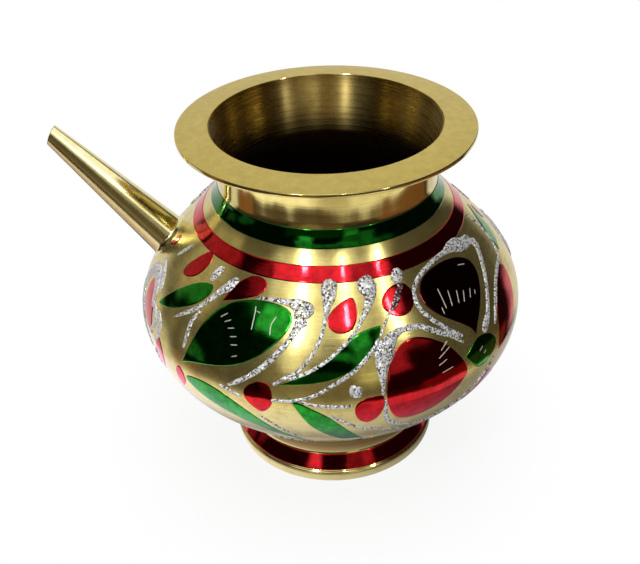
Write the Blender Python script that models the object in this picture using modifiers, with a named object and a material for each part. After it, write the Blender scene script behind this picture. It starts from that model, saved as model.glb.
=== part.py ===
"""Spouted brass water pot with lacquered bands and flowers.

Two spun brass halves meet at the belly, a turned neck with a flat brim stands on the upper half, a
flared ring is the foot and a tapered spout is brazed over a hole in the shoulder. Coloured lacquer
lies on the brass as thin films: three bands and two flower sprays, each half a turn long.

Sizes are in millimetres. The pot's axis is vertical and stands beside the origin, so that the
origin lies at the middle of the whole pot's floor box, spout included.
"""
import math

import bmesh
import bpy
from mathutils import Matrix, Vector
from mathutils.geometry import interpolate_bezier

MM = 0.001

# Body: the widest circle, the narrowest circle of the neck, and how full the curves between are
BELLY_R = 53.5
BELLY_Z = 48.0
WAIST_R = 29.5
WAIST_Z = 86.5
WAIST_FULLNESS = 11.0
SHOULDER_FULLNESS = 17.7
BOWL_FULLNESS = 15.0
BOWL_FOOT_FULLNESS = 12.0
BOWL_FOOT_SLOPE = math.radians(20)
WALL = 1.2

# Neck and brim
NECK_SEAM_Z = 82.8
MOUTH_R = 30.6
BRIM_R = 39.5
BRIM_TOP_Z = 101.0
BRIM_DROOP = 0.9
BRIM_EDGE = 1.1
BRIM_ROOT_R = 32.0
NECK_FLARE = 6.0

# Foot ring
FOOT_NECK_R = 26.0
FOOT_TOP_Z = 17.0
FOOT_NECK_Z = 10.5
FOOT_BAND_TOP_R = 26.7
FOOT_BAND_TOP_Z = 8.0
FOOT_BAND_LOW_R = 29.4
FOOT_BAND_LOW_Z = 3.7
FOOT_LIP_R = 30.1
FOOT_LIP_Z = 1.2
FOOT_BASE_R = 29.7
FOOT_WALL = 1.3

# Spout: its axis leaves the shoulder at SPOUT_Z and climbs away from the pot
SPOUT_Z = 65.0
SPOUT_ANGLE = math.radians(47.2)
SPOUT_LENGTH = 42.1
SPOUT_ROOT_R = 6.05
SPOUT_TIP_R = 2.65
SPOUT_WALL = 0.7
SPOUT_MOUTH_LEAN = math.radians(27)
SPOUT_SIDE = math.radians(180)

# Brazing metal
SOLDER_WIDTH = 2.0
SOLDER_THICKNESS = 0.7
SPOUT_FILLET = 0.5

# Lacquer bands, by the heights of their edges on the body
GREEN_BAND_TOP_Z = 85.1
GREEN_BAND_LOW_Z = 80.5
RED_BAND_TOP_Z = 77.4
RED_BAND_LOW_Z = 74.1

# Fits
CLEARANCE = 0.3
FILM_GAP = 0.25
FILM = 0.3

# Fineness: sides of a turned piece, points along its section, the length of a lacquer face, and the
# fewest such faces along and across a petal or leaf
SEGMENTS = 40
SPOUT_SEGMENTS = 20
SPOUT_POINTS = 7
OUTLINE_STEPS = 80
BOWL_POINTS = 10
SHOULDER_POINTS = 9
CORE_POINTS = 16
FLARE_POINTS = 5
BAND_POINTS = 3
FILM_FACE = 3.3
FILM_FACES_ALONG = 5
FILM_FACES_ACROSS = 3

# The flower pattern is drawn on a sheet. Across, it counts degrees round the pot. Up, it counts
# SHEET_RISE steps from the widest circle to the red band, and down SHEET_FALL steps to the foot.
# One step up is about as long as one degree of the widest circle.
# The sheet is turned by SPRAY_TURN degrees about the pot, to where the spout leaves room for it.
SHEET_RISE = 34.0
SHEET_FALL = 46.0
SPRAYS = 2
SPRAY_TURN = 6.0
BLUNT_END = 0.12

RED = ("lacquer_red", (0.42, 0.004, 0.012), 0.12, 0.6)
DARK_RED = ("lacquer_dark_red", (0.09, 0.002, 0.008), 0.1, 0.6)
GREEN = ("lacquer_green", (0.004, 0.19, 0.02), 0.12, 0.6)
BRASS = ("brass", (0.62, 0.45, 0.14), 0.22, 1.0)
SOLDER = ("brazing_metal", (0.58, 0.47, 0.25), 0.4, 1.0)

# Each blade of lacquer: name, colour, azimuth of its sheet origin, one end (x, y), other end (x, y),
# half width, share of the length where it is widest, sharpness of each end, and sideways bow.
# Sharpness 0.5 is round, 1 is a leaf's point, more is drawn out.
BLADES = (
    ("red_shoulder_petal", RED, -148.5, (-3.9, 24.3), (2.3, 33.4), 2.9, 0.50, (0.8, 0.45), -0.08),
    ("green_shoulder_leaf", GREEN, -144.5, (-11.2, 12.3), (7.1, 26.4), 3.2, 0.70, (0.7, 0.47), -0.02),
    ("red_crown_petal", RED, -122.0, (-6.2, 24.4), (5.0, 32.7), 2.6, 0.72, (1.2, 0.9), 0.06),
    ("green_great_petal", GREEN, -118.5, (-19.8, 2.3), (11.8, 25.4), 8.3, 0.62, (1.4, 0.5), 0.05),
    ("red_tip_bud", RED, -141.0, (1.0, -7.4), (1.8, 0.8), 2.2, 0.60, (0.9, 0.6), -0.04),
    ("green_long_leaf", GREEN, -122.0, (20.5, -21.0), (-14.2, -1.2), 3.7, 0.74, (1.4, 0.54), -0.117),
    ("red_berry", RED, -111.5, (0.7, -3.2), (1.7, 6.5), 4.2, 0.48, (0.7, 0.45), 0.12),
    ("green_slant_leaf", GREEN, -88.5, (-18.2, 6.2), (11.1, 21.4), 3.6, 0.75, (1.5, 0.8), -0.073),
    ("red_front_petal", RED, -86.5, (-3.2, 21.2), (2.5, 29.9), 3.6, 0.34, (0.48, 0.66), -0.05),
    ("red_front_bud", RED, -66.5, (-4.9, 24.9), (3.4, 29.7), 4.2, 0.50, (0.42, 0.42), -0.05),
    ("dark_great_petal", DARK_RED, -45.0, (-0.4, 9.3), (-2.5, 31.7), 11.6, 0.68, (1.5, 0.45), -0.10),
    ("red_great_petal", RED, -63.5, (12.6, 0.7), (-12.4, 7.0), 12.4, 0.67, (0.72, 0.42), 0.03),
    ("green_flower_heart", GREEN, -42.0, (-9.2, 5.5), (4.8, 3.4), 4.7, 0.50, (1.1, 0.5), -0.04),
    ("red_low_berry", RED, -81.5, (3.7, 2.8), (-1.3, -5.8), 3.9, 0.54, (0.62, 0.46), -0.12),
    ("green_low_leaf", GREEN, -93.0, (11.0, -24.0), (-11.2, 4.2), 3.3, 0.57, (0.77, 1.5), -0.055),
    ("red_side_petal", RED, -22.0, (-13.6, -0.6), (6.0, 16.8), 5.8, 0.50, (0.9, 0.5), 0.03),
    ("red_under_petal", RED, -38.0, (-2.0, -4.5), (4.0, -24.0), 7.0, 0.60, (1.0, 0.5), -0.06),
    ("red_spout_petal", RED, -164.0, (7.6, 1.5), (-3.5, 14.5), 4.4, 0.55, (0.8, 0.55), 0.08),
    ("green_spout_leaf", GREEN, -160.0, (3.0, -24.0), (-3.0, -7.5), 3.4, 0.60, (1.1, 0.6), 0.08),
    ("red_side_bud", RED, -151.0, (0.5, -6.5), (0.5, 4.0), 2.8, 0.50, (0.6, 0.8), 0.05),
    ("red_root_petal", RED, -173.0, (-1.6, 23.7), (1.2, 28.6), 1.7, 0.60, (0.6, 0.5), -0.05),
)
# A leaf beside the spray that only one side of the pot has
SIDE_LEAF = ("green_side_leaf", GREEN, -1.5, (-7.0, 18.5), (4.5, 31.5), 3.0, 0.50, (0.9, 0.9), -0.06)


def clear_scene():
    for item in list(bpy.data.objects):
        bpy.data.objects.remove(item, do_unlink=True)


def collection(name):
    made = bpy.data.collections.new(name)
    bpy.context.scene.collection.children.link(made)
    return made


def material(spec):
    name, colour, roughness, metallic = spec
    found = bpy.data.materials.get(name)
    if found:
        return found
    made = bpy.data.materials.new(name)
    made.use_nodes = True
    shader = made.node_tree.nodes["Principled BSDF"]
    shader.inputs["Base Color"].default_value = (*colour, 1.0)
    shader.inputs["Roughness"].default_value = roughness
    shader.inputs["Metallic"].default_value = metallic
    made.diffuse_color = (*colour, 1.0)
    return made


class Outline:
    """The pot's outer line from the neck's waist down to the foot, measured along its length."""

    def __init__(self):
        waist = Vector((WAIST_R, WAIST_Z))
        belly = Vector((BELLY_R, BELLY_Z))
        foot = Vector((FOOT_NECK_R, FOOT_TOP_Z + CLEARANCE))
        rise = Vector((math.cos(BOWL_FOOT_SLOPE), math.sin(BOWL_FOOT_SLOPE)))
        below_waist = waist - Vector((0, WAIST_FULLNESS))
        over_belly = belly + Vector((0, SHOULDER_FULLNESS))
        under_belly = belly - Vector((0, BOWL_FULLNESS))
        upper = interpolate_bezier(waist, below_waist, over_belly, belly, OUTLINE_STEPS)
        lower = interpolate_bezier(belly, under_belly, foot + rise * BOWL_FOOT_FULLNESS, foot, OUTLINE_STEPS)
        self.points = upper + lower[1:]
        self.along = [0.0]
        for before, after in zip(self.points, self.points[1:]):
            self.along.append(self.along[-1] + (after - before).length)

    def place(self, distance):
        """Point and outward normal at a distance along the line."""
        index = 0
        while index < len(self.along) - 2 and self.along[index + 1] < distance:
            index += 1
        start, end = self.points[index], self.points[index + 1]
        share = (distance - self.along[index]) / (self.along[index + 1] - self.along[index])
        tangent = (end - start).normalized()
        return start.lerp(end, share), Vector((-tangent.y, tangent.x))

    def distance(self, height):
        """Distance along the line at which it passes a height."""
        for index, (start, end) in enumerate(zip(self.points, self.points[1:])):
            if start.y >= height >= end.y:
                share = (start.y - height) / (start.y - end.y)
                return self.along[index] + share * (self.along[index + 1] - self.along[index])
        return self.along[-1]

    def run(self, top, bottom, count, offset=0.0):
        """Evenly spaced points between two heights, moved out by an offset."""
        first, last = self.distance(top), self.distance(bottom)
        points = []
        for index in range(count):
            point, normal = self.place(first + (last - first) * index / (count - 1))
            points.append(point + normal * offset)
        return points


def turned(name, line, spec, target, closed=True, segments=SEGMENTS):
    """A solid of revolution about its own Z axis from a line of (radius, height) points."""
    mesh = bpy.data.meshes.new(name)
    edges = [(index, index + 1) for index in range(len(line) - 1)]
    if closed:
        edges.append((len(line) - 1, 0))
    mesh.from_pydata([(radius * MM, 0, height * MM) for radius, height in line], edges, [])
    made = bpy.data.objects.new(name, mesh)
    screw = made.modifiers.new("Turn", "SCREW")
    screw.axis = "Z"
    screw.steps = segments
    screw.render_steps = segments
    screw.use_merge_vertices = True
    screw.merge_threshold = 0.00001
    screw.use_smooth_shade = True
    mesh.materials.append(material(spec))
    target.objects.link(made)
    made.parent = axis
    return made


def hide_cutter(cutter):
    cutter.hide_render = True
    cutter.display_type = "WIRE"


def cut(part, cutter):
    boolean = part.modifiers.new("Cut", "BOOLEAN")
    boolean.operation = "DIFFERENCE"
    boolean.solver = "EXACT"
    boolean.object = cutter


def shell_line(top, bottom, count):
    """Section of a spun wall: down its outer face, back up its inner face."""
    return outline.run(top, bottom, count) + outline.run(bottom, top, count, -WALL)


def make_lower_bowl():
    top = BELLY_Z - CLEARANCE / 2
    floor = FOOT_TOP_Z + CLEARANCE
    outer = outline.run(top, floor, BOWL_POINTS)
    inner = [point for point in outline.run(floor, top, BOWL_POINTS, -WALL) if point.y > floor + WALL]
    line = outer + [Vector((0, floor)), Vector((0, floor + WALL))] + inner
    return turned("lower_bowl", close_on_axis(line, len(outer)), BRASS, parts, closed=False)


def close_on_axis(line, break_index):
    """Start a closed section at the axis, so that the turned line ends where it meets the axis."""
    return line[break_index + 1:] + line[:break_index + 1]


def make_upper_shell():
    line = shell_line(NECK_SEAM_Z - CLEARANCE / 2, BELLY_Z + CLEARANCE / 2, SHOULDER_POINTS)
    shell = turned("upper_shell", line, BRASS, parts)
    reach = 4 * WALL
    bore = [(0, reach), (SPOUT_ROOT_R - SPOUT_WALL, reach), (SPOUT_ROOT_R - SPOUT_WALL, -reach), (0, -reach)]
    drill = turned("spout_hole_cutter", bore, BRASS, cutters, closed=False, segments=SPOUT_SEGMENTS)
    drill.matrix_local = spout_frame()
    hide_cutter(drill)
    cut(shell, drill)
    return shell


def make_neck():
    brim_low = BRIM_TOP_Z - BRIM_DROOP - BRIM_EDGE
    root = Vector((BRIM_ROOT_R, brim_low))
    waist = Vector((WAIST_R, WAIST_Z))
    flare = interpolate_bezier(
        root, root - Vector((BRIM_ROOT_R - WAIST_R, NECK_FLARE / 2)), waist + Vector((0, NECK_FLARE)), waist,
        FLARE_POINTS)
    inside_waist = waist - Vector((WALL, 0))
    mouth = Vector((MOUTH_R, BRIM_TOP_Z))
    throat = interpolate_bezier(
        inside_waist, inside_waist + Vector((0, NECK_FLARE)), mouth - Vector((0, NECK_FLARE / 2)), mouth,
        FLARE_POINTS)
    below = outline.run(WAIST_Z, NECK_SEAM_Z + CLEARANCE / 2, BAND_POINTS)
    above = outline.run(NECK_SEAM_Z + CLEARANCE / 2, WAIST_Z, BAND_POINTS, -WALL)
    brim = [Vector((BRIM_R, BRIM_TOP_Z - BRIM_DROOP)), Vector((BRIM_R, brim_low))]
    line = [mouth] + brim + flare[:-1] + below + above[:-1] + throat[:-1]
    return turned("neck_and_brim", line, BRASS, parts)


def make_foot_ring():
    outer = [
        (FOOT_NECK_R, FOOT_TOP_Z), (FOOT_NECK_R, FOOT_NECK_Z), (FOOT_BAND_TOP_R, FOOT_BAND_TOP_Z),
        (FOOT_BAND_LOW_R, FOOT_BAND_LOW_Z), (FOOT_LIP_R, FOOT_LIP_Z), (FOOT_BASE_R, 0)]
    inner = [
        (FOOT_BASE_R - FOOT_WALL, 0), (FOOT_BAND_LOW_R - FOOT_WALL, FOOT_BAND_LOW_Z),
        (FOOT_BAND_TOP_R - FOOT_WALL, FOOT_BAND_TOP_Z), (FOOT_NECK_R - FOOT_WALL, FOOT_NECK_Z),
        (FOOT_NECK_R - FOOT_WALL, FOOT_TOP_Z)]
    return turned("foot_ring", outer + inner, BRASS, parts)


def spout_root():
    point, _ = outline.place(outline.distance(SPOUT_Z))
    return point


def spout_frame():
    """Matrix that lays a turned piece's Z axis along the spout, from the shoulder outwards."""
    root = spout_root()
    place = Matrix.Translation((root.x * MM, 0, root.y * MM))
    tilt = Matrix.Rotation(math.pi / 2 - SPOUT_ANGLE, 4, "Y")
    return Matrix.Rotation(SPOUT_SIDE, 4, "Z") @ place @ tilt


def spout_radius(distance):
    """Outer radius of the spout at a distance from the shoulder: a plain cone that narrows to the tip."""
    return SPOUT_ROOT_R + (SPOUT_TIP_R - SPOUT_ROOT_R) * distance / SPOUT_LENGTH


def spout_reach():
    """Distance of the mouth's far edge from the pot's axis."""
    centre = spout_root().x + SPOUT_LENGTH * math.cos(SPOUT_ANGLE)
    chord = SPOUT_TIP_R / math.cos(SPOUT_ANGLE - SPOUT_MOUTH_LEAN)
    return centre + chord * math.sin(SPOUT_MOUTH_LEAN)


def make_body_core():
    """Cutter in the shape of the filled pot, one clearance larger, for pieces that sit on the shoulder."""
    skin = outline.run(NECK_SEAM_Z, BELLY_Z, CORE_POINTS, CLEARANCE)
    line = [(0, skin[0].y)] + [tuple(point) for point in skin] + [(0, skin[-1].y)]
    core = turned("body_core_cutter", line, BRASS, cutters, closed=False)
    hide_cutter(core)
    return core


def make_spout_tube(core):
    sink = SPOUT_ROOT_R + SPOUT_WALL
    past = 2 * SPOUT_TIP_R
    step = (SPOUT_LENGTH + past + sink) / (SPOUT_POINTS - 1)
    stops = [SPOUT_LENGTH + past - step * index for index in range(SPOUT_POINTS)]
    outer = [(spout_radius(stop), stop) for stop in stops]
    inner = [(radius - SPOUT_WALL, stop) for radius, stop in reversed(outer)]
    tube = turned("spout_tube", outer + inner, BRASS, parts, segments=SPOUT_SEGMENTS)
    tube.matrix_local = spout_frame()
    cut(tube, core)
    cut(tube, make_mouth_cutter(past))
    return tube


def make_mouth_cutter(past):
    """Block whose near face is the plane of the spout's mouth."""
    size = 8 * SPOUT_TIP_R + 2 * past
    bpy.ops.mesh.primitive_cube_add(size=size * MM)
    block = bpy.context.object
    block.name = "spout_mouth_cutter"
    for owner in list(block.users_collection):
        owner.objects.unlink(block)
    cutters.objects.link(block)
    block.parent = axis
    turn = Matrix.Rotation(SPOUT_ANGLE - SPOUT_MOUTH_LEAN, 4, "Y")
    lift = Matrix.Translation((0, 0, size / 2 * MM))
    tip = Matrix.Translation((0, 0, SPOUT_LENGTH * MM))
    block.matrix_local = spout_frame() @ tip @ turn @ lift
    hide_cutter(block)
    return block


def make_spout_solder(core):
    """Fillet of brazing metal round the spout's root, saddle-shaped underneath."""
    sink = SPOUT_ROOT_R + SPOUT_WALL
    top = SPOUT_ROOT_R / 3
    reach = SPOUT_FILLET + SOLDER_THICKNESS
    stops = (top, 0.0, -sink)
    inner = [(spout_radius(stop) + CLEARANCE, stop) for stop in stops]
    outer = [(inner[0][0] + SOLDER_THICKNESS / 2, top)]
    outer += [(radius + reach, stop) for radius, stop in inner[1:]]
    ring = turned("spout_solder", outer + inner[::-1], SOLDER, parts, segments=SPOUT_SEGMENTS)
    ring.matrix_local = spout_frame()
    cut(ring, core)
    return ring


def make_seam_solder(name, seam):
    """Ring of brazing metal inside the wall, across a seam between two spun pieces."""
    face = outline.run(seam + SOLDER_WIDTH, seam - SOLDER_WIDTH, BAND_POINTS, -WALL - CLEARANCE)
    back = Vector((SOLDER_THICKNESS, 0))
    inner = [face[2] - back / 2, face[1] - back, face[0] - back / 2]
    return turned(name, face + inner, SOLDER, parts)


def make_foot_solder():
    """Fillet in the corner between the bowl's underside and the inside of the foot."""
    radius = FOOT_NECK_R - FOOT_WALL - CLEARANCE
    line = [(radius, FOOT_TOP_Z), (radius, FOOT_TOP_Z - SOLDER_WIDTH), (radius - SOLDER_WIDTH, FOOT_TOP_Z)]
    return turned("foot_solder", line, SOLDER, parts)


def make_body_band(name, top, bottom, spec):
    """Film of lacquer round the body between two heights."""
    face = outline.run(top, bottom, BAND_POINTS, FILM_GAP + FILM)
    back = outline.run(bottom, top, BAND_POINTS, FILM_GAP)
    return turned(name, face + back, spec, parts)


def make_foot_band():
    top = Vector((FOOT_BAND_TOP_R, FOOT_BAND_TOP_Z))
    low = Vector((FOOT_BAND_LOW_R, FOOT_BAND_LOW_Z))
    tangent = (low - top).normalized()
    normal = Vector((-tangent.y, tangent.x))
    near, far = normal * FILM_GAP, normal * (FILM_GAP + FILM)
    return turned("red_foot_band", [top + far, low + far, low + near, top + near], RED, parts)


def on_sheet(azimuth, across, up):
    """Point in space for a place on the pattern sheet, lifted off the brass by the film's gap."""
    belly = outline.distance(BELLY_Z)
    band = outline.distance(RED_BAND_LOW_Z)
    if up >= 0:
        distance = belly - up * (belly - band) / SHEET_RISE
    else:
        distance = belly - up * (outline.along[-1] - belly) / SHEET_FALL
    point, normal = outline.place(distance)
    point = point + normal * FILM_GAP
    turn = math.radians(azimuth + across * BELLY_R / point.x)
    return Vector((point.x * math.cos(turn), point.x * math.sin(turn), point.y)) * MM


def blade_half_width(share, half, widest, ends):
    """Half width of a blade at a share of its length, with blunt ends so that the film stays solid."""
    if share < widest:
        from_end, sharpness = share / widest, ends[0]
    else:
        from_end, sharpness = (1 - share) / (1 - widest), ends[1]
    return half * max(math.sin(math.pi / 2 * from_end) ** sharpness, BLUNT_END)


def make_blade(name, spec, azimuth, tail, head, half, widest, ends, bow):
    """A leaf, petal or berry of lacquer, drawn on the pattern sheet and laid on the belly."""
    spine = Vector(head) - Vector(tail)
    side = Vector((-spine.y, spine.x)).normalized()
    along = max(FILM_FACES_ALONG, round(spine.length / FILM_FACE))
    across = max(FILM_FACES_ACROSS, round(2 * half / FILM_FACE))
    form = bmesh.new()
    bmesh.ops.create_grid(form, x_segments=along, y_segments=across, size=1.0)
    for vertex in form.verts:
        share = (1 - math.cos(math.pi * (vertex.co.x + 1) / 2)) / 2
        reach = vertex.co.y * blade_half_width(share, half, widest, ends)
        spot = Vector(tail) + spine * share + side * (reach + 4 * share * (1 - share) * bow * spine.length)
        vertex.co = on_sheet(azimuth, spot.x, spot.y)
    mesh = bpy.data.meshes.new(name)
    form.to_mesh(mesh)
    form.free()
    mesh.materials.append(material(spec))
    mesh.shade_smooth()
    film = bpy.data.objects.new(name, mesh)
    solid = film.modifiers.new("Film", "SOLIDIFY")
    solid.thickness = FILM * MM
    solid.offset = 1.0
    parts.objects.link(film)
    film.parent = axis
    return film


def make_sprays():
    """The flower spray, repeated round the belly."""
    for spray in range(SPRAYS):
        turn = SPRAY_TURN + 360 / SPRAYS * spray
        for name, spec, azimuth, *shape in BLADES:
            make_blade(f"{name}_{spray + 1}", spec, azimuth + turn, *shape)
    name, spec, azimuth, *shape = SIDE_LEAF
    make_blade(name, spec, azimuth + SPRAY_TURN, *shape)


clear_scene()
outline = Outline()
parts = collection("spouted_water_pot")
cutters = collection("cutters")
axis = bpy.data.objects.new("pot_axis", None)
axis.location.x = (spout_reach() - BELLY_R) / 2 * MM
parts.objects.link(axis)

make_lower_bowl()
make_upper_shell()
make_neck()
make_foot_ring()
body_core = make_body_core()
make_spout_tube(body_core)
make_spout_solder(body_core)
make_seam_solder("belly_solder", BELLY_Z)
make_seam_solder("neck_solder", NECK_SEAM_Z)
make_foot_solder()
make_body_band("green_neck_band", GREEN_BAND_TOP_Z, GREEN_BAND_LOW_Z, GREEN)
make_body_band("red_shoulder_band", RED_BAND_TOP_Z, RED_BAND_LOW_Z, RED)
make_foot_band()
make_sprays()
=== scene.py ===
"""Looks of the spouted brass water pot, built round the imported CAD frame.

The turned brass, the spout and every film of lacquer are remade as fine meshes on the CAD's own
sizes, and the beads of silver glitter and the strokes scratched through the lacquer are added.
Sizes are in millimetres unless a comment says otherwise; meshes are in metres in the row frame.
"""
import math

import bmesh
import bpy
import numpy as np
from mathutils import Matrix, Vector


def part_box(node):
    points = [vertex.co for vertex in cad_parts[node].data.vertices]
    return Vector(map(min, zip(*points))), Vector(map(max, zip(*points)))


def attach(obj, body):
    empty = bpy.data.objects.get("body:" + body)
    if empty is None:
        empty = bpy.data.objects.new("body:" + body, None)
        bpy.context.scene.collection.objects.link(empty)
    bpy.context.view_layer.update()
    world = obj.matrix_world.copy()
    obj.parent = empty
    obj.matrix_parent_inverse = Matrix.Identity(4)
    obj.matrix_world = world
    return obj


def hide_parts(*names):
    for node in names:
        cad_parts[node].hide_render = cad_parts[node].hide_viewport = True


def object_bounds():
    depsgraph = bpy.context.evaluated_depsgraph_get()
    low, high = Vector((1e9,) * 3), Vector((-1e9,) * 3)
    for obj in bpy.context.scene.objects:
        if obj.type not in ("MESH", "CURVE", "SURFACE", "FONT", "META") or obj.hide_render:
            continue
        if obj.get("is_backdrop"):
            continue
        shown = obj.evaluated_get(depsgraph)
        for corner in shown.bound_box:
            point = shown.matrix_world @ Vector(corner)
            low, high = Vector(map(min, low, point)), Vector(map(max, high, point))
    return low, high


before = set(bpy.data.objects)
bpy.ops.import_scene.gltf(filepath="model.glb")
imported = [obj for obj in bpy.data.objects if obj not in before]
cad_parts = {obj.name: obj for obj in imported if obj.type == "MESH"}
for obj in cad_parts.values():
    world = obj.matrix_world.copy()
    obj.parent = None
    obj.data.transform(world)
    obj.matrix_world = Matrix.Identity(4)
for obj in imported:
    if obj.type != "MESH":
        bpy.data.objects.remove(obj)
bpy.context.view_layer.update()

MM = 0.001
SPRAYS = 2

# Sizes shared with the CAD
BELLY = (53.5, 48.0)
WAIST = (29.5, 86.5)
WAIST_FULLNESS = 11.0
SHOULDER_FULLNESS = 17.7
BOWL_FULLNESS = 15.0
BOWL_FOOT_FULLNESS = 12.0
BOWL_FOOT_SLOPE = math.radians(20)
BOWL_FOOT = (26.0, 17.3)
WALL = 1.2
NECK_SEAM_Z = 82.8
MOUTH = (30.6, 101.0)
BRIM_R = 39.5
BRIM_DROOP = 0.9
BRIM_EDGE = 1.1
BRIM_ROOT_R = 32.0
NECK_FLARE = 6.0
FOOT_OUTSIDE = ((26.0, 17.3), (26.0, 10.5), (26.7, 8.0), (29.4, 3.7), (30.1, 1.2), (29.7, 0.0))
FOOT_WALL = 1.3
SPOUT_Z = 65.0
SPOUT_ANGLE = math.radians(47.2)
SPOUT_LENGTH = 42.1
SPOUT_ROOT_R = 6.05
SPOUT_TIP_R = 2.65
SPOUT_WALL = 0.7
SPOUT_MOUTH_LEAN = math.radians(27)
GREEN_BAND = (85.1, 80.5)
RED_BAND = (77.4, 74.1)
SHEET_RISE = 34.0
SHEET_FALL = 46.0
SPRAY_TURN = 6.0

# Shaping that only the scene has: the foot's hollow flare, lip and band, how far turned corners are
# rounded, and the spout's root with its brazing metal
FOOT_HOLLOW = 0.05
FOOT_LIP_TOP = 3.35
FOOT_BAND_SPAN = (0.04, 0.99)
MOUTH_ROUNDING = 0.5
BRIM_ROUNDING = 0.3
FOOT_NECK_ROUNDING = 2.0
FOOT_LIP_TOP_ROUNDING = 0.7
FOOT_LIP_ROUNDING = 0.5
FOOT_EDGE_ROUNDING = 0.2
SPOUT_SUNK = WALL / 2
SPOUT_LIP = SPOUT_WALL / 4
FILLET_REACH = 1.2
FILLET_SUNK = 0.02
FILLET_DEPTH = 0.3
FILLET_CORNER_DEPTH = 0.4
DRILL_REACH = 4 * WALL

# Fineness of the meshes
SEGMENTS = 256
SPOUT_SEGMENTS = 96
SPOUT_STEPS = 60
FILLET_STEPS = 12
LINE_STEPS = 240
WALL_STEPS = 150
NECK_STEPS = 40
SEAM_STEPS = 14
FLARE_STEPS = 24
BAND_STEPS = 40
CORNER_STEPS = 6
BLADE_ROWS, BLADE_COLUMNS = 56, 28
BEAD_COLUMNS = 9
STROKE_STEPS = 40
STROKE_STEP = 0.25
STROKE_POINTS = 6
SEARCH_STEPS = 50

# Welding, in metres, the degrees past which an edge is sharp, and the upward normal of a level face
WELD = 2e-7
DEGENERATE = 1e-8
SHARP = 40.0
FILM_SHARP = 60.0
LEVEL = 0.9

# Lacquer film
FILM = 0.12
FILM_SUNK = 0.06
FILM_EDGE = 0.4

# The camera, from a fit to the photograph: place relative to the pot's axis, and its tilt and roll
CAMERA_PLACE = (-3.013, -240.351, 210.049)
CAMERA_TILT = math.radians(33.66)
CAMERA_ROLL = math.radians(-2.08)
CAMERA_LENS = 56.25
CAMERA_SENSOR = 36.0
CAMERA_CLIP = 0.01

# The camera and the studio are turned about the pot's axis with the flower sheet
VIEW_TURN = SPRAY_TURN

# The room that the pot reflects: its dark walls, how far its angles wander, then patches, each over those
# before it, by azimuths, elevations, soft edge (all in degrees) and colour. Azimuth -90 is the camera's side.
CAMERA_SIDE = -90.0
ROOM_DARK = (0.015, 0.012, 0.010)
ROOM_UNEVEN = 3.0
ROOM_UNEVEN_SCALE = 2.3
ROOM_UNEVEN_DETAIL = 3.0
ROOM_UNEVEN_SPAN = (0.3, 0.7)
ROOM = (
    ((-290, -228), (-95, 95), 8, (0.8, 0.8, 0.78)),
    ((-290, -208), (-36, -1), 4, (0.82, 0.8, 0.8)),
    ((-290, -197), (-36, -11), 4, (0.82, 0.8, 0.8)),
    ((56, 110), (-95, 95), 9, (0.85, 0.85, 0.83)),
    ((34, 110), (-30, -4), 4, (0.85, 0.83, 0.83)),
    ((-215, 24), (-95, -33.4), 1.2, (1.3, 1.26, 1.2)),
    ((-110, 24), (-95, -33.4), 6, (0.9, 0.86, 0.76)),
    ((-100, -68), (-95, -33.4), 6, (0.6, 0.55, 0.42)),
    ((-196, -172), (-34.5, -24), 2, (0.22, 0.09, 0.035)),
    ((-172, -40), (-32.5, -24), 1.5, (0.05, 0.025, 0.01)),
    ((-40, 28), (-32.5, -20), 2, (0.18, 0.075, 0.03)),
    ((-228, -198), (11.5, 36), 3, (0.44, 0.4, 0.3)),
    ((-200, -176), (17, 36), 3, (0.44, 0.4, 0.3)),
    ((-200, -188), (-6, 6), 3, (0.17, 0.155, 0.12)),
    ((-182, -167), (-13, 3), 3, (0.26, 0.24, 0.19)),
    ((-130, -78), (-26, 12), 4, (0.1, 0.075, 0.04)),
    ((-116, -100), (-26, -9), 3, (0.2, 0.16, 0.1)),
    ((-120, -108), (12, 27), 3, (1.3, 1.3, 1.21)),
    ((-108, -76), (25, 31), 2, (0.4, 0.4, 0.36)),
    ((-76, -63), (-4, 13), 2.5, (0.84, 0.77, 0.46)),
    ((-78, -62), (13, 24), 3, (0.28, 0.27, 0.21)),
    ((-78, -62), (24, 31), 2, (0.5, 0.48, 0.38)),
    ((-61, -48), (5, 40), 4, (0.42, 0.39, 0.31)),
    ((-50, -38), (22, 40), 4, (0.37, 0.34, 0.27)),
    ((-38, -29), (18, 40), 4, (0.22, 0.2, 0.16)),
    ((-185, -146), (41.5, 95), 2.5, (0.27, 0.26, 0.24)),
    ((-119, -110), (22, 36), 2, (0.8, 0.8, 0.76)),
    ((-118, -98), (32, 50), 3, (0.95, 0.95, 0.93)),
    ((-77, -67), (32, 50), 2.5, (0.85, 0.85, 0.82)),
    ((-146, -118), (39, 50), 2, (1.05, 1.05, 1.03)),
    ((-146, -34), (43.5, 95), 2.5, (1.16, 1.16, 1.14)),
    ((-67, -47), (43, 56), 3, (0.58, 0.58, 0.55)),
)

# Lamps: the azimuths and elevations that each fills, in degrees, its radiance, and its distance in metres
LAMPS = (
    ("lamp_left", (-117.5, -112.5), (40, 50), 50.0),
    ("lamp_middle", (-80, -77), (46, 52.5), 42.0),
    ("lamp_right", (-46, -43.5), (36, 48), 34.0),
)
LAMP_DISTANCE = 0.6
SPOUT_LAMP = ("lamp_spout", (-66, 46), (24, 75), 1.2, 0.5)
GLITTER_LAMP = ("lamp_glitter", (-125, -55), (25, 70), 0.85, 0.5)

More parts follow.
